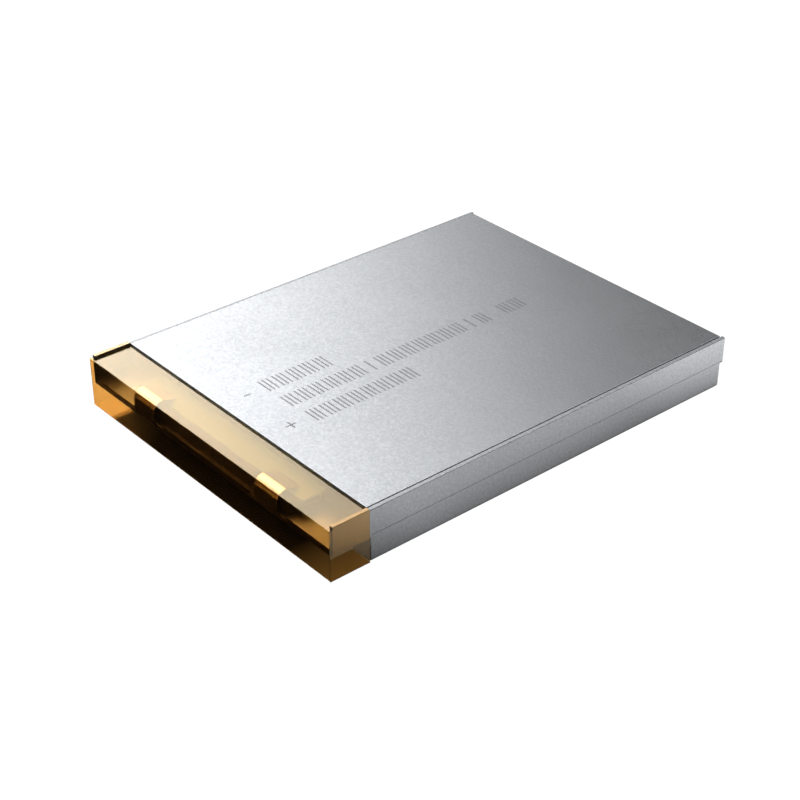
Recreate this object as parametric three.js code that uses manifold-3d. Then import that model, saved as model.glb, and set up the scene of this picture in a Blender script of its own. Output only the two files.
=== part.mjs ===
// Lithium-ion pouch battery cell, 45 mm wide and 60 mm long, in millimetres, +Z up.
// X runs across the width, Y along the length with the terminal end at -Y, and Z is the thickness.
// The origin is the centre of the underside of the whole cell.
import * as THREE from "three";
import { mergeVertices } from "three/addons/utils/BufferGeometryUtils.js";
import Module from "manifold-3d";

const wasm = await Module();
wasm.setup();

// Driving dimensions of the pouch.
const width = 45.0; // over the terminal tape
const length = 60.3; // terminal tape to the rear tips of the side seals
const bodyHeight = 6.7; // underside to the flat top of the upper cup
const laminate = 0.1; // thickness of one layer of pouch laminate
const clearance = 0.01; // gap between faces that touch
const sealRearOverhang = 0.3; // how far the side seals stand past the rear wall
const sealTop = 6.64; // free edge of the folded side seals
const sealTopAtTerrace = 6.7; // the same edge beside the terrace, where the tape holds it up
const sealGap = 0.08; // between a side seal and the upper cup
const sealHem = 0.33; // inner layers of a double-folded side seal, pressed together
const sealUnderside = 2.92; // underside of the terrace and fold of the side seals
const sealPlane = 3.335; // where the upper and lower halves meet
const terraceTop = 3.75; // top of the sealed terrace

// Terminal tape, a box of thin polyimide film round the terrace.
const film = 0.05;
const foldedFilm = 0.04; // film pulled over the free edge of a side seal
const tapeTop = 6.4;
const tapeLength = 5.3;

// Terminals.
const tabWidth = 4.0;
const tabThickness = 0.12;
const tabOffset = 11.45; // centre of each tab from the middle of the cell
const tabInnerEnd = -12.0; // how far the tabs reach into the winding
const tabFreeEnd = -26.7; // rounded end of the folded tab
const tabTop = 6.22; // highest point of the folded tab
const tabSlope = 16; // fall of the folded tab towards its free end, in degrees
const tabRollRadius = 1.3; // outer radius where the tab rolls over
const tabCornerRadius = 0.8;
const tabFootRadius = 0.18; // bend where the tab leaves the terrace
const tabFrontGap = 0.06; // between the tab and the front film
const tabFilmWidth = 6.4;
const tabFilmLength = 4.4;
const tabFilmThickness = 0.1;

// Foam pad under the folded tabs, with a sheet of insulating paper on it.
const padHalfWidth = 14.6;
const padFront = -29.2;
const padTop = 5.3;
const paperHalfWidth = 15.4;
const paperFront = -28.1;
const paperThickness = 0.1;

// Flat-wound electrode roll.
const rollFront = -24.1;
const rollRear = 29.3;
const rollEdgeStep = 0.5; // each electrode is narrower than the separators by this at both ends
const rollCoreRadius = 0.3;
const rollFlatHalf = 18.5;
const anodeThickness = 0.14;
const cathodeThickness = 0.13;
const separatorThickness = 0.025;
const layerGap = 0.01;
const rollTurns = 6.5;
const arcSteps = 6; // segments in each half turn of the winding
const rollTape = 0.04;
const rearTapeReach = 8; // how far the rear tape comes forward over the roll
const rearTapeHalfWidth = 9;
const rearTapeGap = 0.02; // between the rear tape and the pouch
const foilLeadHalfWidth = 5;
const foilThickness = 0.04;
const weldTapeHalfWidth = 4;

// Places that follow from the dimensions.
const halfWidth = width / 2;
const front = -length / 2;
const rear = length / 2;
const bodyRear = rear - sealRearOverhang;
const bodyFront = front + tapeLength;
const wingOuter = halfWidth - film - clearance;
const wingInner = wingOuter - laminate - clearance - sealHem;
const cupHalfWidth = wingInner - sealGap;
const terraceFront = front + 0.44;
const rollCentre = bodyHeight / 2;
const tabPlane = sealPlane;

const materials = {
  laminate: new THREE.MeshStandardMaterial({ color: 0xb9bdc1, roughness: 0.35, metalness: 0.9 }),
  polyimide: new THREE.MeshStandardMaterial({ color: 0xb5661c, roughness: 0.15, metalness: 0.0 }),
  nickel: new THREE.MeshStandardMaterial({ color: 0xc9c2b4, roughness: 0.25, metalness: 1.0 }),
  aluminium: new THREE.MeshStandardMaterial({ color: 0xd5d8db, roughness: 0.25, metalness: 1.0 }),
  copper: new THREE.MeshStandardMaterial({ color: 0xb87345, roughness: 0.3, metalness: 1.0 }),
  sealant: new THREE.MeshStandardMaterial({ color: 0xe8e4da, roughness: 0.5, metalness: 0.0 }),
  graphite: new THREE.MeshStandardMaterial({ color: 0x2b2c2e, roughness: 0.8, metalness: 0.1 }),
  oxide: new THREE.MeshStandardMaterial({ color: 0x1c1a1c, roughness: 0.85, metalness: 0.1 }),
  separator: new THREE.MeshStandardMaterial({ color: 0xf3f3f0, roughness: 0.6, metalness: 0.0 }),
  foam: new THREE.MeshStandardMaterial({ color: 0x1f1f1e, roughness: 0.9, metalness: 0.0 }),
  paper: new THREE.MeshStandardMaterial({ color: 0x3c636c, roughness: 0.7, metalness: 0.0 }),
  tape: new THREE.MeshStandardMaterial({ color: 0x3f8f5c, roughness: 0.4, metalness: 0.0 }),
};

const cell = new THREE.Group();
cell.name = "pouch_battery_cell";

function addPiece(name, geometry, material) {
  const mesh = new THREE.Mesh(geometry, material);
  mesh.name = name;
  cell.add(mesh);
}

// Vertices on a fine grid, so that faces planned on one plane lie on it exactly.
function snapped(geometry) {
  const stepsPerMillimetre = 1e4;
  const position = geometry.getAttribute("position");
  for (let i = 0; i < position.array.length; i++) {
    position.array[i] = Math.round(position.array[i] * stepsPerMillimetre) / stepsPerMillimetre;
  }
  return geometry;
}

// An upright box from its lowest corner to its highest corner.
function block(low, high) {
  const size = high.map((value, axis) => value - low[axis]);
  const middle = high.map((value, axis) => (value + low[axis]) / 2);
  return snapped(new THREE.BoxGeometry(...size).translate(...middle));
}

// A block that is mirror-symmetric about the middle of the cell.
function centredBlock(halfX, y0, y1, z0, z1) {
  return block([-halfX, y0, z0], [halfX, y1, z1]);
}

// An outline of (y, z) points drawn as a prism from x0 to x1.
function prismAlongX(outline, x0, x1) {
  const shape = new THREE.Shape(outline.map(([y, z]) => new THREE.Vector2(y, z)));
  const prism = new THREE.ExtrudeGeometry(shape, { depth: x1 - x0, bevelEnabled: false });
  // The shape's own x, y and depth become Y, Z and X.
  const turn = new THREE.Matrix4().set(0, 0, 1, x0, 1, 0, 0, 0, 0, 1, 0, 0, 0, 0, 0, 1);
  return snapped(prism.applyMatrix4(turn));
}

// An outline of (x, z) points drawn as a prism from y0 to y1.
function prismAlongY(outline, y0, y1) {
  const shape = new THREE.Shape(outline.map(([x, z]) => new THREE.Vector2(x, z)));
  const prism = new THREE.ExtrudeGeometry(shape, { depth: y1 - y0, bevelEnabled: false });
  return snapped(prism.rotateX(Math.PI / 2).translate(0, y1, 0));
}

// An outline of (x, y) points drawn as a flat sheet from z0 to z1.
function sheet(outline, z0, z1) {
  const shape = new THREE.Shape(outline.map(([x, y]) => new THREE.Vector2(x, y)));
  const flat = new THREE.ExtrudeGeometry(shape, { depth: z1 - z0, bevelEnabled: false });
  return snapped(flat.translate(0, 0, z0));
}

function toSolid(geometry) {
  const bare = (geometry.index ? geometry.toNonIndexed() : geometry).clone();
  bare.deleteAttribute("normal");
  bare.deleteAttribute("uv");
  const merged = mergeVertices(bare, 1e-4);
  return new wasm.Manifold(
    new wasm.Mesh({
      numProp: 3,
      vertProperties: merged.attributes.position.array,
      triVerts: new Uint32Array(merged.index.array),
    }),
  );
}

function toGeometry(solid) {
  const mesh = solid.getMesh();
  const geometry = new THREE.BufferGeometry();
  geometry.setAttribute("position", new THREE.BufferAttribute(mesh.vertProperties, 3));
  geometry.setIndex(new THREE.BufferAttribute(mesh.triVerts, 1));
  geometry.computeVertexNormals();
  return geometry;
}

function joined(geometries) {
  return geometries.map(toSolid).reduce((whole, piece) => whole.add(piece));
}

function cut(solid, geometries) {
  return geometries.map(toSolid).reduce((whole, piece) => whole.subtract(piece), solid);
}

// Slots in the terrace for the two tabs and their sealant films.
function tabSlots() {
  const halfSlot = tabFilmWidth / 2 + clearance;
  const halfStack = tabThickness / 2 + tabFilmThickness + 3 * clearance;
  return [-tabOffset, tabOffset].map((x) =>
    block(
      [x - halfSlot, terraceFront - 1, tabPlane - halfStack],
      [x + halfSlot, bodyFront + 1, tabPlane + halfStack],
    ),
  );
}

// The inner or outer part of both side seals, which stand a little higher beside the terrace.
function sealLayer([near, far], underside) {
  const step = bodyFront - clearance;
  return [-1, 1].flatMap((side) => {
    const [low, high] = side > 0 ? [near, far] : [-far, -near];
    return [
      block([low, terraceFront, underside], [high, step, sealTopAtTerrace]),
      block([low, terraceFront, underside], [high, rear, sealTop]),
    ];
  });
}

// Upper half of the pouch: a cup open at the seal plane, its half of the terrace and the inner
// part of the side seals, which are folded up beside the cup.
function upperShell() {
  const floorOfHalf = sealPlane + clearance / 2;
  const wingLayer = [wingInner, wingOuter - laminate - clearance];
  const wings = sealLayer(wingLayer, floorOfHalf);
  const lipRear = bodyFront + laminate / 2;
  const lip = centredBlock(wingLayer[1], terraceFront, lipRear, floorOfHalf, terraceTop);
  const flange = centredBlock(wingLayer[1], bodyFront, bodyRear, floorOfHalf, floorOfHalf + laminate);
  const cup = centredBlock(cupHalfWidth, bodyFront, bodyRear, floorOfHalf, bodyHeight);
  const inside = centredBlock(
    cupHalfWidth - laminate,
    bodyFront + laminate,
    bodyRear - laminate,
    floorOfHalf - 1,
    bodyHeight - laminate,
  );
  return toGeometry(cut(joined([cup, lip, flange, ...wings]), [inside, ...tabSlots()]));
}

// Lower half of the pouch: the deeper-set cup that the cell lies on, its half of the terrace and
// the outer layers of the side seals.
function lowerShell() {
  const topOfHalf = sealPlane - clearance / 2;
  const wingLayer = [wingOuter - laminate, wingOuter];
  const wings = sealLayer(wingLayer, sealUnderside);
  const lipRear = bodyFront + laminate / 2;
  const lip = centredBlock(wingOuter, terraceFront, lipRear, sealUnderside, topOfHalf);
  const cup = centredBlock(wingOuter, bodyFront, bodyRear, 0, topOfHalf);
  const inside = centredBlock(
    wingOuter - laminate,
    bodyFront + laminate,
    bodyRear - laminate,
    laminate,
    topOfHalf + 1,
  );
  return toGeometry(cut(joined([cup, lip, ...wings]), [inside, ...tabSlots()]));
}

// Film over the top, front and underside of the terrace, as one bent strip.
function tapeWrap() {
  const rearEdge = bodyFront - clearance;
  const outline = [
    [rearEdge, 0],
    [front, 0],
    [front, tapeTop],
    [rearEdge, tapeTop],
    [rearEdge, tapeTop - film],
    [front + film, tapeTop - film],
    [front + film, film],
    [rearEdge, film],
  ].reverse();
  const strip = toSolid(prismAlongX(outline, -halfWidth + film + clearance, halfWidth - film - clearance));
  const wingRoom = [-1, 1].map((side) => {
    const [near, far] = side > 0 ? [cupHalfWidth, halfWidth] : [-halfWidth, -cupHalfWidth];
    return block([near, terraceFront - clearance, sealUnderside - clearance], [far, bodyFront, bodyHeight]);
  });
  return toGeometry(cut(strip, wingRoom));
}

// Film over one side of the terrace, outside the folded seal and pulled over its free edge.
function tapeEnd(side) {
  const rearEdge = bodyFront - clearance;
  const underFold = sealTopAtTerrace + clearance;
  const across = (x0, x1) => (side > 0 ? [x0, x1] : [-x1, -x0]);
  const [near, far] = across(halfWidth - film, halfWidth);
  const [foldNear, foldFar] = across(wingInner, halfWidth);
  const flat = block([near, front, 0], [far, rearEdge, tapeTop]);
  const upright = block([near, terraceFront, 0], [far, rearEdge, underFold + foldedFilm]);
  const fold = block([foldNear, terraceFront, underFold], [foldFar, rearEdge, underFold + foldedFilm]);
  return toGeometry(joined([flat, upright, fold]));
}

// Centre line of a tab as (y, z): out of the winding, through the terrace, up its front edge,
// rolled back and then falling towards the pad.
function tabCentreLine() {
  const half = tabThickness / 2;
  const upright = front + film + tabFrontGap + half;
  const rollRadius = tabRollRadius - half;
  const path = [[tabInnerEnd, tabPlane]];
  for (let step = 0; step <= 4; step++) {
    const angle = (Math.PI / 2) * (step / 4);
    path.push([
      upright + tabFootRadius * (1 - Math.sin(angle)),
      tabPlane + tabFootRadius * (1 - Math.cos(angle)),
    ]);
  }
  const rollCentreZ = tabTop - tabRollRadius;
  for (let step = 0; step <= 8; step++) {
    const angle = (Math.PI / 2) * (step / 8);
    path.push([
      upright + rollRadius * (1 - Math.cos(angle)),
      rollCentreZ + rollRadius * Math.sin(angle),
    ]);
  }
  const reach = tabFreeEnd - (upright + rollRadius);
  const fall = reach * Math.tan(THREE.MathUtils.degToRad(tabSlope));
  path.push([tabFreeEnd, tabTop - half - fall]);
  return path;
}

// An open (y, z) path thickened evenly on both sides into a closed outline.
function thickened(path, thickness) {
  const offsetPath = (distance) =>
    path.map((point, index) => {
      const before = path[Math.max(index - 1, 0)];
      const after = path[Math.min(index + 1, path.length - 1)];
      const along = new THREE.Vector2(after[0] - before[0], after[1] - before[1]).normalize();
      return [point[0] - along.y * distance, point[1] + along.x * distance];
    });
  return [...offsetPath(thickness / 2), ...offsetPath(-thickness / 2).reverse()];
}

// One terminal tab with rounded corners at its free end.
function tab(x) {
  const strip = toSolid(
    prismAlongX(thickened(tabCentreLine(), tabThickness), x - tabWidth / 2, x + tabWidth / 2),
  );
  const corners = [-1, 1].map((side) => {
    const edge = x + (side * tabWidth) / 2;
    const points = [
      [edge + side * 0.5, tabFreeEnd - tabCornerRadius],
      [edge + side * 0.5, tabFreeEnd + 0.5],
      [edge - side * tabCornerRadius, tabFreeEnd + 0.5],
    ];
    for (let step = 0; step <= 5; step++) {
      const angle = (Math.PI / 2) * (step / 5);
      points.push([
        edge - side * tabCornerRadius * (1 - Math.sin(angle)),
        tabFreeEnd - tabCornerRadius * (1 - Math.cos(angle)),
      ]);
    }
    return sheet(side > 0 ? points : points.reverse(), tabTop - 1, tabTop + 1);
  });
  return toGeometry(cut(strip, corners));
}

// Sealant film above or below a tab, where it crosses the terrace.
function tabFilm(x, side) {
  const near = tabPlane + side * (tabThickness / 2 + clearance);
  const far = near + side * tabFilmThickness;
  const middle = (terraceFront + bodyFront) / 2;
  return block(
    [x - tabFilmWidth / 2, middle - tabFilmLength / 2, Math.min(near, far)],
    [x + tabFilmWidth / 2, middle + tabFilmLength / 2, Math.max(near, far)],
  );
}

// One layer of the flat winding: a strip that spirals out from the core, its inner face at the
// given distance from the start of its turn.
function woundLayer(offset, thickness, y0, y1) {
  const pitch = anodeThickness + cathodeThickness + 2 * separatorThickness + 4 * layerGap;
  const halfTurns = rollTurns * 2;
  const radiusAt = (halfTurn) => rollCoreRadius + (pitch * halfTurn) / 2;
  const face = (distance) => {
    const points = [];
    for (let halfTurn = 0; halfTurn < halfTurns; halfTurn++) {
      const side = halfTurn % 2 === 0 ? 1 : -1;
      for (let step = 0; step <= arcSteps; step++) {
        const share = step / arcSteps;
        const angle = -Math.PI / 2 + Math.PI * share;
        const radius = radiusAt(halfTurn + share) + distance;
        points.push([
          side * (rollFlatHalf + radius * Math.cos(angle)),
          rollCentre + side * radius * Math.sin(angle),
        ]);
      }
    }
    return points;
  };
  return prismAlongY([...face(offset), ...face(offset + thickness).reverse()].reverse(), y0, y1);
}

// Tape round the rear end of the roll: top, rear and underside.
function rollRearTape() {
  const rollTop = bodyHeight - laminate - rearTapeGap;
  const rollBottom = laminate + rearTapeGap;
  const reach = rollRear - rearTapeReach;
  const back = rollRear + 0.1;
  const outline = [
    [reach, rollBottom],
    [back, rollBottom],
    [back, rollTop],
    [reach, rollTop],
    [reach, rollTop - rollTape],
    [back - rollTape, rollTop - rollTape],
    [back - rollTape, rollBottom + rollTape],
    [reach, rollBottom + rollTape],
  ];
  return prismAlongX(outline, -rearTapeHalfWidth, rearTapeHalfWidth);
}

addPiece("pouch_upper_shell", upperShell(), materials.laminate);
addPiece("pouch_lower_shell", lowerShell(), materials.laminate);
addPiece("terminal_tape_wrap", tapeWrap(), materials.polyimide);
addPiece("terminal_tape_left_end", tapeEnd(-1), materials.polyimide);
addPiece("terminal_tape_right_end", tapeEnd(1), materials.polyimide);
addPiece(
  "tab_support_pad",
  centredBlock(padHalfWidth, padFront, bodyFront - clearance, terraceTop + clearance, padTop),
  materials.foam,
);
const paperUnder = padTop + clearance;
addPiece(
  "tab_insulation_paper",
  centredBlock(
    paperHalfWidth,
    paperFront,
    bodyFront - clearance,
    paperUnder,
    paperUnder + paperThickness,
  ),
  materials.paper,
);

const polarities = [
  { name: "negative", x: -tabOffset, metal: materials.nickel, foil: materials.copper },
  { name: "positive", x: tabOffset, metal: materials.aluminium, foil: materials.aluminium },
];
for (const { name, x, metal, foil } of polarities) {
  const half = tabThickness / 2;
  addPiece(`${name}_tab`, tab(x), metal);
  addPiece(`${name}_tab_film_upper`, tabFilm(x, 1), materials.sealant);
  addPiece(`${name}_tab_film_lower`, tabFilm(x, -1), materials.sealant);
  const foilTop = tabPlane - half - clearance;
  addPiece(
    `${name}_foil_lead`,
    block(
      [x - foilLeadHalfWidth, rollFront + 1, foilTop - foilThickness],
      [x + foilLeadHalfWidth, tabInnerEnd + 4, foilTop],
    ),
    foil,
  );
  const tapeUnder = tabPlane + half + clearance;
  addPiece(
    `${name}_weld_tape`,
    block(
      [x - weldTapeHalfWidth, rollFront + 0.5, tapeUnder],
      [x + weldTapeHalfWidth, tabInnerEnd + 2, tapeUnder + rollTape],
    ),
    materials.tape,
  );
}

const layers = [
  { name: "separator_inner", thickness: separatorThickness, inset: 0, material: materials.separator },
  { name: "anode_strip", thickness: anodeThickness, inset: rollEdgeStep, material: materials.graphite },
  { name: "separator_outer", thickness: separatorThickness, inset: 0, material: materials.separator },
  { name: "cathode_strip", thickness: cathodeThickness, inset: 2 * rollEdgeStep, material: materials.oxide },
];
let layerOffset = 0;
for (const { name, thickness, inset, material } of layers) {
  const strip = woundLayer(layerOffset, thickness, rollFront + inset, rollRear - inset);
  addPiece(name, strip, material);
  layerOffset += thickness + layerGap;
}
addPiece("roll_rear_tape", rollRearTape(), materials.tape);

export default cell;
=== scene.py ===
"""Looks of the pouch battery cell: laminate halves, amber tape box, tabs, pad and marks.

Lengths in the shape code are in millimetres and are scaled to metres when a mesh is made.
"""

import math
import random

import bmesh
import bpy
from mathutils import Matrix, Vector


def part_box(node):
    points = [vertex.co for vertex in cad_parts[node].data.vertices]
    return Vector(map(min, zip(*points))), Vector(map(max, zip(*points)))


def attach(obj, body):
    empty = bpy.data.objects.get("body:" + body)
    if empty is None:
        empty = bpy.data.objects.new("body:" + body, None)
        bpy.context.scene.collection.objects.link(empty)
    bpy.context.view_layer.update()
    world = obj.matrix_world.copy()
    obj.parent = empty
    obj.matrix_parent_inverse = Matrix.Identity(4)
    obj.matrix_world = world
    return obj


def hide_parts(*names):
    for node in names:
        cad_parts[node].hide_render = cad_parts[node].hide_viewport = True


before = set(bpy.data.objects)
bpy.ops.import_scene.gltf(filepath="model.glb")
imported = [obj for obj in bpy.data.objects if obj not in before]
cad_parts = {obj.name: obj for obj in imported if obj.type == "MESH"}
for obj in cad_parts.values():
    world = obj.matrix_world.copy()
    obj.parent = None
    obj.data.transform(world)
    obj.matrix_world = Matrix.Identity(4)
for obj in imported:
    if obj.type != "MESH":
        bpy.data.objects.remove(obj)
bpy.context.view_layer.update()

MM = 0.001
TOUCH = 1e-6  # lengths in millimetres closer than this are the same
SCENE = bpy.context.scene
random.seed(11)


# ---------------------------------------------------------------- places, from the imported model
def node_box(name):
    low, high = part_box(name)
    return [v / MM for v in low], [v / MM for v in high]


upper_low, upper_high = node_box("pouch_upper_shell")
lower_low, lower_high = node_box("pouch_lower_shell")
wrap_low, wrap_high = node_box("terminal_tape_wrap")
HALF_WIDTH = node_box("terminal_tape_right_end")[1][0]
paper_low, paper_high = node_box("tab_insulation_paper")
pad_low, pad_high = node_box("tab_support_pad")

CLEARANCE = 0.01
LAMINATE = 0.1
FILM = 0.05
FOLDED_FILM = 0.04  # film pulled over the free edge of a side seal
SEAL_HEM = 0.33  # inner layers of a folded side seal
SEAL_GAP = 0.04  # between a side seal and the upper cup
SEAL_FALL = 0.07  # outward slope of a seal's free edge over its inner layers
OUTER_FALL = 0.02  # the same over its outer layer
WING_OUTER = lower_high[0]
WING_MIDDLE = upper_high[0]
WING_INNER = WING_MIDDLE - SEAL_HEM
CUP_HALF = WING_INNER - SEAL_GAP
TERRACE_FRONT = lower_low[1]
REAR = lower_high[1]
BODY_FRONT = wrap_high[1] + CLEARANCE
BODY_REAR = REAR - 0.3
BODY_TOP = 6.7
WING_TOP = 6.64
WING_TOP_AT_TERRACE = 6.7
SEAL_UNDERSIDE = 2.92
SEAL_PLANE = 3.335  # where the two halves meet
SEAL_LOW = 3.33
SEAL_HIGH = upper_low[2]
TERRACE_TOP = 3.75

TAB_X = 11.45
TAB_THICKNESS = 0.12
TAB_FREE_END = -26.7
TAB_SLOPE = 16  # fall of the folded tab towards its free end, in degrees
TAB_SLOT_HALF_WIDTH = 3.21
TAB_SLOT_HALF_HEIGHT = 0.19

# A pressed line along each side, as (height, distance out from the face).
FOLD_LINE = ((3.355, 0.02), (3.365, -0.05), (3.395, -0.05), (3.405, 0.02))

# Larger than the cell, for the far sides of cutting boxes.
PAST_SIDE = 23
PAST_TOP = 8


# ---------------------------------------------------------------- mesh helpers
def new_object(name, bm):
    """A mesh object in metres from a bmesh in millimetres."""
    bmesh.ops.scale(bm, vec=(MM, MM, MM), verts=bm.verts)
    mesh = bpy.data.meshes.new(name)
    bm.to_mesh(mesh)
    bm.free()
    obj = bpy.data.objects.new(name, mesh)
    SCENE.collection.objects.link(obj)
    return obj


def box_bm(low, high):
    bm = bmesh.new()
    bmesh.ops.create_cube(bm, size=1.0)
    for v in bm.verts:
        for i in range(3):
            v.co[i] = low[i] if v.co[i] < 0 else high[i]
    return bm


def round_edges(bm, radius, pick, segments=4):
    edges = [e for e in bm.edges if pick(e)]
    bmesh.ops.bevel(
        bm,
        geom=edges,
        offset=radius,
        segments=segments,
        profile=0.5,
        affect="EDGES",
        clamp_overlap=True,
    )


def along(axis, e):
    """Whether an edge runs along an axis."""
    d = e.verts[1].co - e.verts[0].co
    return abs(d[axis]) > TOUCH and all(abs(d[i]) < TOUCH for i in range(3) if i != axis)


def at(axis, value, e):
    """Whether an edge lies at one value of an axis."""
    return all(abs(v.co[axis] - value) < TOUCH for v in e.verts)


def prism(outline, axis, start, end):
    """A closed prism. The outline is in the two axes that follow the given one."""
    bm = bmesh.new()
    rings = []
    for place in (start, end):
        ring = []
        for a, b in outline:
            co = [0.0, 0.0, 0.0]
            co[axis], co[(axis + 1) % 3], co[(axis + 2) % 3] = place, a, b
            ring.append(bm.verts.new(co))
        rings.append(ring)
    count = len(outline)
    bm.faces.new(rings[0])
    bm.faces.new(rings[1])
    for i in range(count):
        j = (i + 1) % count
        bm.faces.new((rings[0][i], rings[0][j], rings[1][j], rings[1][i]))
    bmesh.ops.recalc_face_normals(bm, faces=bm.faces)
    return bm


def arc(centre, radius, start, end, steps):
    return [
        (
            centre[0] + radius * math.cos(math.radians(start + (end - start) * i / steps)),
            centre[1] + radius * math.sin(math.radians(start + (end - start) * i / steps)),
        )
        for i in range(steps + 1)
    ]


def combine(name, base, parts, smooth_angle=32):
    """Joins and cuts solids. parts is a list of (operation, bmesh)."""
    target = new_object(name, base)
    for number, (operation, bm) in enumerate(parts):
        tool = new_object(f"{name}_tool_{number}", bm)
        modifier = target.modifiers.new("b", "BOOLEAN")
        modifier.operation = operation
        modifier.solver = "MANIFOLD"
        modifier.object = tool
        bpy.context.view_layer.objects.active = target
        bpy.context.view_layer.update()
        mesh = bpy.data.meshes.new_from_object(
            target.evaluated_get(bpy.context.evaluated_depsgraph_get())
        )
        target.modifiers.clear()
        old = target.data
        target.data = mesh
        bpy.data.meshes.remove(old)
        tool_mesh = tool.data
        bpy.data.objects.remove(tool)
        bpy.data.meshes.remove(tool_mesh)
    clean(target, smooth_angle)
    target.data.name = name
    return target


def clean(obj, smooth_angle):
    bm = bmesh.new()
    bm.from_mesh(obj.data)
    bmesh.ops.remove_doubles(bm, verts=bm.verts, dist=1e-8)
    bmesh.ops.dissolve_degenerate(bm, edges=bm.edges, dist=1e-8)
    bm.to_mesh(obj.data)
    bm.free()
    obj.data.shade_smooth()
    obj.data.set_sharp_from_angle(angle=math.radians(smooth_angle))
    modifier = obj.modifiers.new("w", "WEIGHTED_NORMAL")
    modifier.keep_sharp = True
    modifier.weight = 100
    mesh = bpy.data.meshes.new_from_object(
        obj.evaluated_get(bpy.context.evaluated_depsgraph_get())
    )
    obj.modifiers.clear()
    old = obj.data
    obj.data = mesh
    bpy.data.meshes.remove(old)


# ---------------------------------------------------------------- material helpers
class Nodes:
    """A small builder for node materials."""

    def __init__(self, name):
        self.material = bpy.data.materials.new(name)
        self.material.use_nodes = True
        self.tree = self.material.node_tree
        self.tree.nodes.clear()
        self.output = self.add("ShaderNodeOutputMaterial")
        self.place = self.add("ShaderNodeTexCoord").outputs["Object"]

    def add(self, kind, **inputs):
        node = self.tree.nodes.new(kind)
        for key, value in inputs.items():
            node.inputs[key.replace("_", " ")].default_value = value
        return node

    def link(self, a, b):
        self.tree.links.new(a, b)

    def stretched(self, scale):
        mapping = self.add("ShaderNodeMapping")
        mapping.inputs["Scale"].default_value = scale
        self.link(self.place, mapping.inputs["Vector"])
        return mapping.outputs["Vector"]

    def noise(self, scale, detail=3.0, roughness=0.5, vector=None):
        node = self.add("ShaderNodeTexNoise")
        node.inputs["Scale"].default_value = scale
        node.inputs["Detail"].default_value = detail
        node.inputs["Roughness"].default_value = roughness
        self.link(vector or self.place, node.inputs["Vector"])
        return node.outputs["Fac"]

    def spread(self, value, low, high, from_low=0.3, from_high=0.7):
        """A value in the range from_low to from_high, spread over low to high."""
        node = self.add("ShaderNodeMapRange")
        node.inputs["From Min"].default_value = from_low
        node.inputs["From Max"].default_value = from_high
        node.inputs["To Min"].default_value = low
        node.inputs["To Max"].default_value = high
        self.link(value, node.inputs["Value"])
        return node.outputs["Result"]

    def blend(self, factor, a, b):
        node = self.add("ShaderNodeMix")
        node.data_type = "RGBA"
        node.inputs[6].default_value = (*a, 1)
        node.inputs[7].default_value = (*b, 1)
        self.link(factor, node.inputs[0])
        return node.outputs[2]

    def bump(self, height, strength, distance, normal=None):
        node = self.add("ShaderNodeBump")
        node.inputs["Strength"].default_value = strength
        node.inputs["Distance"].default_value = distance
        self.link(height, node.inputs["Height"])
        if normal is not None:
            self.link(normal, node.inputs["Normal"])
        return node.outputs["Normal"]

    def calc(self, operation, *terms):
        """A Math node. Each term is a socket or a number."""
        node = self.add("ShaderNodeMath")
        node.operation = operation
        for socket, term in zip(node.inputs, terms):
            if isinstance(term, (int, float)):
                socket.default_value = term
            else:
                self.link(term, socket)
        return node.outputs[0]

    def place_along(self, axis):
        """The object's own coordinate along one axis, in metres."""
        split = self.add("ShaderNodeSeparateXYZ")
        self.link(self.place, split.inputs[0])
        return split.outputs[axis]

    def mix_shaders(self, factor, a, b):
        node = self.add("ShaderNodeMixShader")
        for socket, source in zip(node.inputs, (factor, a, b)):
            self.link(source, socket)
        return node.outputs[0]

    def principled(self, **values):
        return self.add("ShaderNodeBsdfPrincipled", **values)

    def finish(self, shader):
        self.link(shader, self.output.inputs["Surface"])
        return self.material


def laminate_material(name, tint=1.0):
    """Satin aluminium laminate: fine speckle and grain, faint clouds and a slight waviness."""
    n = Nodes(name)
    cloud = n.noise(55, 4, 0.55)
    grain = n.noise(6200, 2, 0.6)
    speckle = n.noise(2900, 2, 0.7)
    light = tuple(tint * c for c in (0.212, 0.219, 0.227))
    dark = tuple(tint * c for c in (0.172, 0.178, 0.185))
    cloud_share = 0.3
    mixed = n.calc(
        "MULTIPLY_ADD", n.spread(cloud, 0, 1), cloud_share, n.spread(speckle, -0.25, 0.95)
    )
    bsdf = n.principled(Metallic=1.0)
    n.link(n.blend(mixed, light, dark), bsdf.inputs["Base Color"])
    rough = n.calc("ADD", n.spread(cloud, 0.33, 0.37), n.spread(speckle, -0.04, 0.04))
    n.link(rough, bsdf.inputs["Roughness"])
    wave = n.bump(n.noise(70, 2, 0.5), 0.35, 0.00012)
    coarse = n.bump(speckle, 0.55, 0.00002, wave)
    n.link(n.bump(grain, 0.35, 0.00001, coarse), bsdf.inputs["Normal"])
    return n.finish(bsdf.outputs[0])


def film_material(name):
    """Clear amber polyimide film: tinted, glossy and slightly rippled from laying it down."""
    n = Nodes(name)
    ripple = n.noise(180, 3, 0.5)
    bsdf = n.principled(IOR=1.5, Transmission_Weight=1.0, Metallic=0.0)
    bsdf.inputs["Specular Tint"].default_value = (0.84, 0.76, 0.52, 1.0)
    tone = n.blend(n.spread(n.noise(90, 3), 0, 1), (0.84, 0.58, 0.27), (0.81, 0.55, 0.24))
    n.link(tone, bsdf.inputs["Base Color"])
    n.link(n.spread(ripple, 0.03, 0.08), bsdf.inputs["Roughness"])
    n.link(n.bump(ripple, 0.12, 0.00004), bsdf.inputs["Normal"])
    clear = n.add("ShaderNodeBsdfTransparent")
    n.link(tone, clear.inputs["Color"])
    in_shadow = n.add("ShaderNodeLightPath").outputs["Is Shadow Ray"]
    return n.finish(n.mix_shaders(in_shadow, bsdf.outputs[0], clear.outputs[0]))


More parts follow.
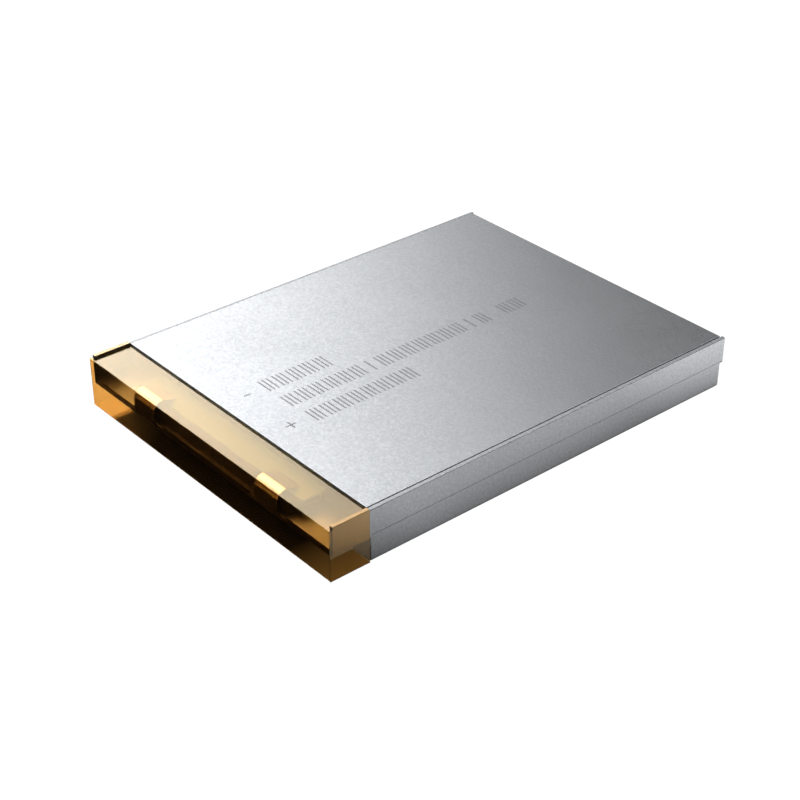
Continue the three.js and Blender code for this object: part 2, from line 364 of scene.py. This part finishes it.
def rolled_metal(name, light, dark, rough=0.17):
    """Bright rolled strip with fine lines along its length."""
    n = Nodes(name)
    lines = n.noise(1.0, 3, 0.6, n.stretched((9000, 350, 9000)))
    bsdf = n.principled(Metallic=1.0)
    n.link(n.blend(n.spread(n.noise(400, 3), 0, 1), light, dark), bsdf.inputs["Base Color"])
    n.link(n.spread(lines, rough - 0.05, rough + 0.06), bsdf.inputs["Roughness"])
    n.link(n.bump(lines, 0.3, 0.000004), bsdf.inputs["Normal"])
    return n.finish(bsdf.outputs[0])


def soft_plastic(name, light, dark, grain, rough=(0.5, 0.65), depth=0.00001):
    """Matt or satin polymer, coating or foam with grain at a given scale."""
    n = Nodes(name)
    fine = n.noise(grain, 4, 0.6)
    bsdf = n.principled()
    n.link(n.blend(n.spread(n.noise(300, 3), 0, 1), light, dark), bsdf.inputs["Base Color"])
    n.link(n.spread(fine, *rough), bsdf.inputs["Roughness"])
    n.link(n.bump(fine, 0.5, depth), bsdf.inputs["Normal"])
    return n.finish(bsdf.outputs[0])


def ink_material(name):
    """Grey marking ink, thin enough that the metal shows a little through it."""
    n = Nodes(name)
    bsdf = n.principled(Metallic=0.3)
    n.link(
        n.blend(
            n.spread(n.noise(1500, 3), 0, 1), (0.030, 0.031, 0.034), (0.045, 0.046, 0.050)
        ),
        bsdf.inputs["Base Color"],
    )
    n.link(n.spread(n.noise(3000, 3), 0.42, 0.55), bsdf.inputs["Roughness"])
    n.link(n.bump(n.noise(5000, 2), 0.4, 0.000005), bsdf.inputs["Normal"])
    return n.finish(bsdf.outputs[0])


# ---------------------------------------------------------------- pouch halves
def tab_slots():
    """Cuts through the terrace for the two tabs and their sealant films."""
    slots = []
    for x in (-TAB_X, TAB_X):
        low = (
            x - TAB_SLOT_HALF_WIDTH,
            TERRACE_FRONT - 1,
            SEAL_PLANE - TAB_SLOT_HALF_HEIGHT,
        )
        high = (
            x + TAB_SLOT_HALF_WIDTH,
            BODY_FRONT + 1,
            SEAL_PLANE + TAB_SLOT_HALF_HEIGHT,
        )
        slots.append(("DIFFERENCE", box_bm(low, high)))
    return slots


def upper_half():
    """The upper cup with its half of the terrace and the inner part of both side seals."""
    radius, inside_radius = 0.12, 0.05
    cup = box_bm((-CUP_HALF, BODY_FRONT, SEAL_HIGH), (CUP_HALF, BODY_REAR, BODY_TOP))
    round_edges(cup, radius, lambda e: at(2, BODY_TOP, e) or along(2, e))
    inside_top = BODY_TOP - LAMINATE
    inside = box_bm(
        (-CUP_HALF + LAMINATE, BODY_FRONT + LAMINATE, SEAL_HIGH - 1),
        (CUP_HALF - LAMINATE, BODY_REAR - LAMINATE, inside_top),
    )
    round_edges(inside, inside_radius, lambda e: at(2, inside_top, e) or along(2, e), 2)
    lip = box_bm(
        (-WING_MIDDLE, TERRACE_FRONT, SEAL_HIGH),
        (WING_MIDDLE, BODY_FRONT + LAMINATE / 2, TERRACE_TOP),
    )
    flange_inset = 0.05
    flange = box_bm(
        (-WING_MIDDLE, BODY_FRONT + flange_inset, SEAL_HIGH),
        (WING_MIDDLE, BODY_REAR - flange_inset, SEAL_HIGH + LAMINATE),
    )
    parts = [("UNION", lip), ("UNION", flange)]
    for side in (-1, 1):
        parts += seal_layer(side, WING_INNER, WING_MIDDLE, SEAL_HIGH)
    parts.append(("DIFFERENCE", inside))
    return combine("pouch_upper_laminate", cup, parts + tab_slots())


def seal_layer(side, near, far, underside):
    """The inner part of a side seal: a long strip, and a higher part beside the terrace."""
    radius, overlap = 0.04, 0.3
    low_x, high_x = sorted((side * near, side * far))
    solids = []
    for start, end, top in (
        (TERRACE_FRONT, BODY_FRONT - CLEARANCE, WING_TOP_AT_TERRACE),
        (TERRACE_FRONT + overlap, REAR, WING_TOP),
    ):
        strip = box_bm((low_x, start, underside), (high_x, end, top))
        if top == WING_TOP:
            lower_top(strip, side * far, top, SEAL_FALL)
        round_edges(strip, radius, lambda e: at(2, top, e) and along(1, e), 3)
        solids.append(("UNION", strip))
    return solids


def lower_top(bm, x, top, fall):
    """Drops the upper edge of a strip on one of its two long sides."""
    for v in bm.verts:
        if abs(v.co.x - x) < TOUCH and abs(v.co.z - top) < TOUCH:
            v.co.z -= fall


def lower_half():
    """The lower cup with its half of the terrace and the outer layer of both side seals."""
    foot, inside_foot = 0.28, 0.18
    cup = box_bm((-WING_OUTER, BODY_FRONT, 0), (WING_OUTER, BODY_REAR, SEAL_LOW))
    round_edges(cup, foot, lambda e: at(2, 0, e) or along(2, e), 5)
    inside = box_bm(
        (-WING_OUTER + LAMINATE, BODY_FRONT + LAMINATE, LAMINATE),
        (WING_OUTER - LAMINATE, BODY_REAR - LAMINATE, SEAL_LOW + 1),
    )
    round_edges(inside, inside_foot, lambda e: at(2, LAMINATE, e) or along(2, e), 2)

    # The terrace and the seals beside it are one channel, drawn from its right half.
    fold, rim = 0.26, 0.03
    layer_inner = WING_MIDDLE + CLEARANCE
    top = WING_TOP_AT_TERRACE
    right = [(layer_inner, SEAL_LOW), (layer_inner, top)]
    right += arc((WING_OUTER - rim, top - rim), rim, 90, 0, 3)
    right += arc((WING_OUTER - fold, SEAL_UNDERSIDE + fold), fold, 0, -90, 6)
    left = [(-x, z) for x, z in reversed(right)]
    channel_outline = [(z, x) for x, z in right + left]
    channel = prism(channel_outline, 1, TERRACE_FRONT, BODY_FRONT - CLEARANCE)
    overlap = 0.3
    tongue = box_bm(
        (-WING_MIDDLE, BODY_FRONT - overlap, SEAL_UNDERSIDE),
        (WING_MIDDLE, BODY_FRONT + LAMINATE / 2, SEAL_LOW),
    )
    parts = [("UNION", channel), ("UNION", tongue)]

    edge_radius = 0.07
    layer_top = WING_TOP - SEAL_FALL
    edge_top = WING_TOP - SEAL_FALL - OUTER_FALL
    for side in (-1, 1):
        xs = sorted((side * layer_inner, side * WING_OUTER))
        wing = box_bm(
            (xs[0], BODY_FRONT - overlap, SEAL_UNDERSIDE + overlap),
            (xs[1], REAR, layer_top),
        )
        lower_top(wing, side * WING_OUTER, layer_top, OUTER_FALL)
        round_edges(wing, edge_radius, lambda e: at(2, edge_top, e) and along(1, e), 4)
        parts.append(("UNION", wing))
    parts.append(("DIFFERENCE", inside))

    line_start = BODY_FRONT + 0.3
    for side in (-1, 1):
        face = side * WING_OUTER
        line = [(z, face + side * out) for z, out in FOLD_LINE]
        parts.append(("DIFFERENCE", prism(line, 1, line_start, REAR + 1)))
        parts.append(("DIFFERENCE", tapered_crease(face, side)))
    return combine("pouch_lower_laminate", cup, parts + tab_slots())


def tapered_crease(face, side):
    """A shallow pressed line on a side seal that fades out behind the tape."""
    bm = bmesh.new()
    start, end = TERRACE_FRONT - 0.5, -22.7
    depth = 0.05
    z_low, z_deepest, z_high = 6.42, 6.45, 6.48
    outside = face + side * 0.02
    rings = []
    for y, d in ((start, depth), (BODY_FRONT, depth), (end, 0.0)):
        rings.append(
            [
                bm.verts.new((outside, y, z_low)),
                bm.verts.new((face - side * (d - 0.001), y, z_deepest)),
                bm.verts.new((outside, y, z_high)),
            ]
        )
    bm.faces.new(rings[0])
    bm.faces.new(rings[-1])
    for a, b in zip(rings, rings[1:]):
        for i in range(3):
            j = (i + 1) % 3
            bm.faces.new((a[i], a[j], b[j], b[i]))
    bmesh.ops.recalc_face_normals(bm, faces=bm.faces)
    return bm


# ---------------------------------------------------------------- tape, tabs and pad
def tape_wrap():
    """The film strip over the top, front and underside of the terrace, with its two bends."""
    rear = wrap_high[1]
    front = wrap_low[1]
    top = wrap_high[2]
    bend = 0.14
    outline = [(rear, 0)]
    outline += arc((front + bend, bend), bend, 270, 180, 5)
    outline += arc((front + bend, top - bend), bend, 180, 90, 5)
    outline += [(rear, top), (rear, top - FILM)]
    outline += arc((front + bend, top - bend), bend - FILM, 90, 180, 5)
    outline += arc((front + bend, bend), bend - FILM, 180, 270, 5)
    outline += [(rear, FILM)]
    strip = prism(outline, 0, wrap_low[0], wrap_high[0])
    parts = []
    for side in (-1, 1):
        xs = sorted((side * CUP_HALF, side * PAST_SIDE))
        room = box_bm(
            (xs[0], TERRACE_FRONT - CLEARANCE, SEAL_UNDERSIDE - CLEARANCE),
            (xs[1], BODY_FRONT + 1, PAST_TOP),
        )
        parts.append(("DIFFERENCE", room))
    return combine("tape_wrap", strip, parts)


def tape_end(name, side):
    """The film on one end: flat over the side and pulled over the edge of the side seal."""
    bend, corner, overlap = 0.06, 0.02, 0.2
    outer = side * HALF_WIDTH
    inner = outer - side * FILM
    under = WING_TOP_AT_TERRACE + CLEARANCE
    top = under + FOLDED_FILM
    profile = [(0, outer), (top - bend, outer)]
    for a in (30, 60, 90):
        angle = math.radians(a)
        up, inward = bend * math.sin(angle), bend * (1 - math.cos(angle))
        profile.append((top - bend + up, outer - side * inward))
    profile += [(top, side * WING_INNER), (under, side * WING_INNER)]
    profile += [
        (under, outer - side * (FILM + CLEARANCE)),
        (under - CLEARANCE, inner),
        (0, inner),
    ]
    folded = prism(profile, 1, TERRACE_FRONT, wrap_high[1])
    xs = sorted((inner, outer))
    flat = box_bm(
        (xs[0], wrap_low[1], 0), (xs[1], TERRACE_FRONT + overlap, wrap_high[2])
    )
    round_edges(flat, corner, lambda e: at(0, outer, e) and at(1, wrap_low[1], e), 2)
    return combine(name, folded, [("UNION", flat)])


def tab_strip(name, node):
    """A tab: through the terrace, up its front and rolled back, with rounded free corners."""
    low, high = node_box(node)
    half = TAB_THICKNESS / 2
    half_width = (high[0] - low[0]) / 2
    centre = (low[0] + high[0]) / 2
    foot, corner, edge = 0.18, 0.8, 0.03
    roll = 1.3 - half
    upright = low[1] + half
    top = high[2] - half
    crest = upright + roll
    slope = math.tan(math.radians(TAB_SLOPE))
    inner, in_pouch = high[1], -20.0

    # The centre line, and the share of the full width at each of its points.
    path = [(inner, SEAL_PLANE), (in_pouch, SEAL_PLANE)]
    path += arc((upright + foot, SEAL_PLANE + foot), foot, 270, 180, 6)
    path += arc((upright + roll, top - roll), roll, 180, 90, 20)
    past_crest = 0.05
    path.append((crest + past_crest, top - past_crest * slope))
    before_corner = TAB_FREE_END - corner - 0.3
    path.append((before_corner, top - (before_corner - crest) * slope))
    widths = [1.0] * len(path)
    steps = 6
    for i in range(steps + 1):
        angle = math.pi / 2 * i / steps
        y = TAB_FREE_END - corner * (1 - math.sin(angle))
        path.append((y, top - (y - crest) * slope))
        widths.append((half_width - corner * (1 - math.cos(angle))) / half_width)

    bm = bmesh.new()
    rings = []
    for i, (y, z) in enumerate(path):
        before, after = path[max(i - 1, 0)], path[min(i + 1, len(path) - 1)]
        d = Vector((after[0] - before[0], after[1] - before[1])).normalized()
        normal = Vector((-d.y, d.x))
        w = half_width * widths[i]
        section = [
            (-w, -half + edge),
            (-w + edge, -half),
            (w - edge, -half),
            (w, -half + edge),
            (w, half - edge),
            (w - edge, half),
            (-w + edge, half),
            (-w, half - edge),
        ]
        ring = [
            bm.verts.new((centre + sx, y + normal.x * sn, z + normal.y * sn))
            for sx, sn in section
        ]
        rings.append(ring)
    bm.faces.new(rings[0])
    bm.faces.new(rings[-1])
    count = len(rings[0])
    for a, b in zip(rings, rings[1:]):
        for i in range(count):
            j = (i + 1) % count
            bm.faces.new((a[i], a[j], b[j], b[i]))
    bmesh.ops.recalc_face_normals(bm, faces=bm.faces)
    obj = new_object(name, bm)
    clean(obj, 40)
    return obj


def pad():
    """The foam block, with its upright and upper edges rounded."""
    bm = box_bm(pad_low, pad_high)
    round_edges(bm, 0.12, lambda e: along(2, e) or at(2, pad_high[2], e), 3)
    obj = new_object("pad_under_tabs", bm)
    clean(obj, 50)
    return obj


def paper_sheet():
    """The insulating paper on the pad, with rounded corners."""
    bm = box_bm(paper_low, paper_high)
    round_edges(bm, 0.35, lambda e: along(2, e), 4)
    obj = new_object("insulation_paper", bm)
    clean(obj, 40)
    return obj


# ---------------------------------------------------------------- printed marks
def marks():
    """Polarity signs and plain hatch bars on the top. Each stroke is a zigzag of ink dots."""
    bm = bmesh.new()
    radius, height, depth = 0.088, 0.006, 0.002
    crown = 0.7  # share of a dot's radius that is flat on top
    pitch, stagger, scatter = 0.135, 0.045, 0.008
    sides = 7

    def dot(x, y):
        base = []
        for k in range(sides):
            angle = 2 * math.pi * k / sides
            base.append((x + radius * math.cos(angle), y + radius * math.sin(angle)))
        low = [bm.verts.new((a, b, BODY_TOP - depth)) for a, b in base]
        rim = [bm.verts.new((a, b, BODY_TOP + height * 0.5)) for a, b in base]
        inner = [
            bm.verts.new((x + (a - x) * crown, y + (b - y) * crown, BODY_TOP + height))
            for a, b in base
        ]
        bm.faces.new(list(reversed(low)))
        bm.faces.new(inner)
        for a, b in ((low, rim), (rim, inner)):
            for k in range(sides):
                j = (k + 1) % sides
                bm.faces.new((a[k], a[j], b[j], b[k]))

    def stroke(x0, y0, x1, y1):
        length = math.hypot(x1 - x0, y1 - y0)
        count = max(1, round(length / pitch))
        nx, ny = -(y1 - y0) / length, (x1 - x0) / length
        for k in range(count + 1):
            t = k / count
            s = stagger * (1 if k % 2 else -1)
            dot(
                x0 + (x1 - x0) * t + nx * s + random.uniform(-scatter, scatter),
                y0 + (y1 - y0) * t + ny * s + random.uniform(-scatter, scatter),
            )

    # Each row of hatching: its two edges in X, its start in Y and one letter for each place.
    # b is a bar of three strokes, s a single stroke and t a short one.
    place, bar, margin, short = 1.94, 1.36, 0.1, 0.15
    first = -18.7
    rows = [
        (-5.1, -2.65, first, "bbbbb"),
        (-0.85, 1.5, first, "bbbbbbsbbbbbbbsbtbb"),
        (3.35, 5.7, first + 0.3, "bbbbbbbb"),
    ]
    for x_top, x_foot, start, kinds in rows:
        for number, kind in enumerate(kinds):
            y = start + number * place
            middle = y + bar / 2
            if kind == "b":
                for offset in (margin, bar / 2, bar - margin):
                    stroke(x_top, y + offset, x_foot, y + offset)
            elif kind == "s":
                stroke(x_top, middle, x_foot, middle)
            else:
                stroke(x_foot - short, middle, x_foot, middle)

    minus = (-3.6, -21.6, -3.6, -20.8)
    plus = ((4.55, -21.85, 4.55, -20.55), (3.9, -21.2, 5.2, -21.2))
    for ends in (minus, *plus):
        stroke(*ends)
    bmesh.ops.recalc_face_normals(bm, faces=bm.faces)
    return new_object("printed_marks", bm)


# ---------------------------------------------------------------- build and dress the pieces
laminate = laminate_material("laminate")
laminate_lower = laminate_material("laminate_lower", 0.97)
amber = film_material("polyimide")
nickel = rolled_metal("nickel", (0.80, 0.77, 0.71), (0.74, 0.71, 0.65))
tab_aluminium = rolled_metal("tab_aluminium", (0.86, 0.87, 0.88), (0.80, 0.81, 0.82))
copper = rolled_metal("copper", (0.80, 0.48, 0.31), (0.74, 0.42, 0.26))
foam = soft_plastic(
    "pad_foam", (0.008, 0.008, 0.0075), (0.005, 0.005, 0.005), 2600, (0.7, 0.9), 0.00002
)
paper = soft_plastic(
    "paper", (0.045, 0.125, 0.15), (0.036, 0.105, 0.125), 5200, (0.35, 0.5), 0.000008
)
sealant = soft_plastic("sealant", (0.86, 0.84, 0.78), (0.80, 0.78, 0.71), 900, (0.35, 0.5))
graphite = soft_plastic("graphite", (0.05, 0.05, 0.055), (0.07, 0.07, 0.075), 7000, (0.6, 0.8))
oxide = soft_plastic("oxide", (0.035, 0.03, 0.035), (0.05, 0.045, 0.05), 7000, (0.65, 0.85))
separator = soft_plastic("separator", (0.90, 0.90, 0.88), (0.84, 0.84, 0.82), 5000, (0.4, 0.55))
roll_tape = soft_plastic("roll_tape", (0.10, 0.36, 0.17), (0.07, 0.28, 0.12), 500, (0.2, 0.35))


def dress(obj, material, slot, *nodes):
    obj.data.materials.clear()
    obj.data.materials.append(material)
    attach(obj, "root")
    if nodes:
        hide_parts(*nodes)


dress(upper_half(), laminate, "laminate", "pouch_upper_shell")
dress(lower_half(), laminate_lower, "laminate", "pouch_lower_shell")
dress(tape_wrap(), amber, "polyimide", "terminal_tape_wrap")
dress(tape_end("tape_end_left", -1), amber, "polyimide", "terminal_tape_left_end")
dress(tape_end("tape_end_right", 1), amber, "polyimide", "terminal_tape_right_end")
dress(pad(), foam, "pad", "tab_support_pad")
dress(paper_sheet(), paper, "paper", "tab_insulation_paper")
dress(tab_strip("tab_negative", "negative_tab"), nickel, "nickel", "negative_tab")
dress(tab_strip("tab_positive", "positive_tab"), tab_aluminium, "tab_aluminium", "positive_tab")
dress(marks(), ink_material("marking_ink"), None)

node_materials = {
    "negative_tab_film_upper": sealant,
    "negative_tab_film_lower": sealant,
    "positive_tab_film_upper": sealant,
    "positive_tab_film_lower": sealant,
    "negative_foil_lead": copper,
    "positive_foil_lead": tab_aluminium,
    "negative_weld_tape": roll_tape,
    "positive_weld_tape": roll_tape,
    "separator_inner": separator,
    "separator_outer": separator,
    "anode_strip": graphite,
    "cathode_strip": oxide,
    "roll_rear_tape": roll_tape,
}
for node, material in node_materials.items():
    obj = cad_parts[node]
    obj.data.materials.clear()
    obj.data.materials.append(material)


# ---------------------------------------------------------------- floor, light and camera
def floor():
    """A pale floor that is plain white where the camera sees it directly."""
    half_size, height = 1500, -0.02
    bm = bmesh.new()
    bmesh.ops.create_grid(bm, x_segments=8, y_segments=8, size=half_size)
    for v in bm.verts:
        v.co.z = height
    obj = new_object("floor", bm)
    n = Nodes("floor")
    matt = n.principled(Roughness=0.85)
    matt.inputs["Specular IOR Level"].default_value = 0.1
    n.link(
        n.blend(n.spread(n.noise(40, 3), 0, 1), (0.80, 0.80, 0.80), (0.78, 0.78, 0.78)),
        matt.inputs["Base Color"],
    )
    white = n.add("ShaderNodeEmission", Color=(1, 1, 1, 1), Strength=1.06)
    path = n.add("ShaderNodeLightPath")
    direct = n.calc("LESS_THAN", path.outputs["Transparent Depth"], 0.5)
    seen = n.calc("MULTIPLY", path.outputs["Is Camera Ray"], direct)
    white_share = n.calc("MULTIPLY", seen, 0.94)
    mixed = n.mix_shaders(white_share, matt.outputs[0], white.outputs[0])
    obj.data.materials.append(n.finish(mixed))


floor()


def sky():
    """A dim studio, darker in front of the cell than behind it, with a white backdrop."""
    world = bpy.data.worlds.new("studio")
    SCENE.world = world
    world.use_nodes = True
    tree = world.node_tree
    tree.nodes.clear()
    out = tree.nodes.new("ShaderNodeOutputWorld")
    back = tree.nodes.new("ShaderNodeBackground")
    coords = tree.nodes.new("ShaderNodeTexCoord")
    split = tree.nodes.new("ShaderNodeSeparateXYZ")
    tree.links.new(coords.outputs["Generated"], split.inputs[0])
    slope = tree.nodes.new("ShaderNodeMapRange")
    slope.inputs["From Min"].default_value = -0.5
    slope.inputs["From Max"].default_value = 0.8
    slope.inputs["To Min"].default_value = 0.02
    slope.inputs["To Max"].default_value = 0.16
    tree.links.new(split.outputs["Y"], slope.inputs["Value"])
    path = tree.nodes.new("ShaderNodeLightPath")
    mix = tree.nodes.new("ShaderNodeMix")
    mix.data_type = "RGBA"
    tree.links.new(path.outputs["Is Camera Ray"], mix.inputs[0])
    tree.links.new(slope.outputs[0], mix.inputs[6])
    mix.inputs[7].default_value = (1, 1, 1, 1)
    tree.links.new(mix.outputs[2], back.inputs["Color"])
    tree.links.new(back.outputs[0], out.inputs["Surface"])


sky()


def softbox(name, azimuth, elevation, distance, size_x, size_y, radiance):
    """A rectangular light aimed at the cell. Azimuth is measured from +X towards +Y."""
    light = bpy.data.lights.new(name, "AREA")
    light.shape = "RECTANGLE"
    light.size, light.size_y = size_x, size_y
    light.energy = radiance * math.pi * size_x * size_y
    obj = bpy.data.objects.new(name, light)
    SCENE.collection.objects.link(obj)
    a, e = math.radians(azimuth), math.radians(elevation)
    place = Vector((math.cos(a) * math.cos(e), math.sin(a) * math.cos(e), math.sin(e)))
    obj.location = place * distance
    obj.rotation_mode = "QUATERNION"
    obj.rotation_quaternion = place.to_track_quat("Z", "Y")
    obj.visible_camera = False
    return light


def fade_across(light, weak, until):
    """Dims a softbox towards one side, as a lamp set off its centre does."""
    light.use_nodes = True
    tree = light.node_tree
    place = tree.nodes.new("ShaderNodeNewGeometry")
    split = tree.nodes.new("ShaderNodeSeparateXYZ")
    tree.links.new(place.outputs["Parametric"], split.inputs[0])
    ramp = tree.nodes.new("ShaderNodeMapRange")
    ramp.interpolation_type = "SMOOTHSTEP"
    ramp.inputs["From Min"].default_value = 0.0
    ramp.inputs["From Max"].default_value = until
    ramp.inputs["To Min"].default_value = weak
    ramp.inputs["To Max"].default_value = 1.0
    tree.links.new(split.outputs["X"], ramp.inputs["Value"])
    emission = next(node for node in tree.nodes if node.type == "EMISSION")
    tree.links.new(ramp.outputs["Result"], emission.inputs["Strength"])


fade_across(softbox("key", 171, 38, 0.50, 0.62, 0.44, 6.6), 0.21, 0.35)
softbox("top", 158, 76, 0.60, 0.45, 0.45, 3.0)
softbox("rim", 90, 56, 0.60, 0.28, 0.20, 6.0)
softbox("fill", -60, 24, 0.70, 0.80, 0.50, 0.8)


CARD_LOW, CARD_HIGH = -0.014, -0.010  # cards lie just above the floor
SHEET_HEIGHT = -0.012
CARD_BLACK = 0.003


def lay_card(obj, material):
    """Makes a card that casts no shadow and that the camera doesn't see directly."""
    obj.data.materials.append(material)
    obj.visible_camera = False
    obj.visible_shadow = False


def dark_card(name, low, high, tone):
    """A black card on the floor, seen only in reflections and through the film: painted shade
    where the floor would otherwise show lit.
    """
    obj = new_object(name, box_bm((*low, CARD_LOW), (*high, CARD_HIGH)))
    n = Nodes(name)
    card = n.principled(Roughness=0.9)
    card.inputs["Specular IOR Level"].default_value = 0.0
    n.link(
        n.blend(n.spread(n.noise(300, 3), 0, 1), (tone,) * 3, (tone * 1.4,) * 3),
        card.inputs["Base Color"],
    )
    lay_card(obj, n.finish(card.outputs[0]))


# Painted shade: a dark floor in the reflections in front of the cell and beside its right end.
dark_card("front_card", (-260, -230), (140, -30.3), CARD_BLACK)
dark_card("right_card", (22.6, -30.3), (25.5, -24.6), CARD_BLACK)


def painted_floor_light_card():
    """A glowing card under the cell: painted light standing in for the light that comes in below
    the clear tape.

    Its emission is painted light and shade that changes from place to place: a painted pool of
    light at the left end, painted shade towards the middle and the depth of the cell, and a
    little brighter at the right end. It is seen only in reflections and through the film.
    """
    low, high = (-22.4, -30.1, CARD_LOW), (22.4, 29, CARD_HIGH)
    obj = new_object("painted_floor_light_card", box_bm(low, high))
    n = Nodes("painted_floor_light_card")
    x, y = n.place_along("X"), n.place_along("Y")
    # Painted light and shade under the cell: brighter at each end, painted shade in the middle
    # and towards the depth of the cell.
    right = n.spread(x, 0.0, 0.19, 0.015, 0.0224)
    left = n.spread(x, 0.09, 0.015, -0.0185, -0.011)
    depth = n.spread(y, 1.0, 0.25, -0.030, -0.0275)
    # A painted pool of light at the left end.
    painted_light_pool = n.spread(x, 0.85, 0.0, -0.0191, -0.0189)
    dim = n.calc("ADD", n.calc("MULTIPLY", left, depth), right)
    glow = n.add("ShaderNodeEmission")
    n.link(n.calc("MAXIMUM", dim, painted_light_pool), glow.inputs["Strength"])
    lay_card(obj, n.finish(glow.outputs[0]))


painted_floor_light_card()


def painted_floor_glow_sheet():
    """A glowing sheet on the floor beside the cell, seen only in reflections: painted light
    standing in for the lit floor.

    It is brighter away from the cell and towards the rear: the cell's cast shadow on the floor is
    painted into it.
    """
    bm = bmesh.new()
    near, far, start, end = 22.7, 160, -40, 150
    corners = [(near, start), (far, start), (far, end), (near, end)]
    bm.faces.new([bm.verts.new((x, y, SHEET_HEIGHT)) for x, y in corners])
    obj = new_object("painted_floor_glow_sheet", bm)
    n = Nodes("painted_floor_glow_sheet")
    x, y = n.place_along("X"), n.place_along("Y")
    # Painted shadow of the cell: dimmer next to the cell and towards the front, brighter towards
    # the rear.
    away = n.spread(x, 0.8, 2.0, 0.0227, 0.030)
    front = n.spread(y, 0.40, 1.0, -0.028, -0.016)
    back = n.spread(y, 1.0, 1.6, 0.018, 0.034)
    glow = n.add("ShaderNodeEmission")
    level = n.calc("MULTIPLY", away, n.calc("MULTIPLY", front, back))
    n.link(level, glow.inputs["Strength"])
    lay_card(obj, n.finish(glow.outputs[0]))
    obj.visible_transmission = False


painted_floor_glow_sheet()

camera_data = bpy.data.cameras.new("camera")
camera_data.lens = 79.587
camera_data.sensor_width = 36.0
camera_data.clip_start = 0.005
camera_data.clip_end = 20
camera = bpy.data.objects.new("camera", camera_data)
SCENE.collection.objects.link(camera)
camera_place = Vector((136.496, -118.200, 111.485)) * MM
ahead = Vector((-0.64582, 0.55154, -0.52794)).normalized()
right = Vector((0.64820, 0.76146, 0.00257))
right = (right - ahead * right.dot(ahead)).normalized()
up = right.cross(ahead)
camera.matrix_world = Matrix(
    (
        (right.x, up.x, -ahead.x, camera_place.x),
        (right.y, up.y, -ahead.y, camera_place.y),
        (right.z, up.z, -ahead.z, camera_place.z),
        (0, 0, 0, 1),
    )
)
SCENE.camera = camera
SCENE.view_settings.view_transform = "Standard"
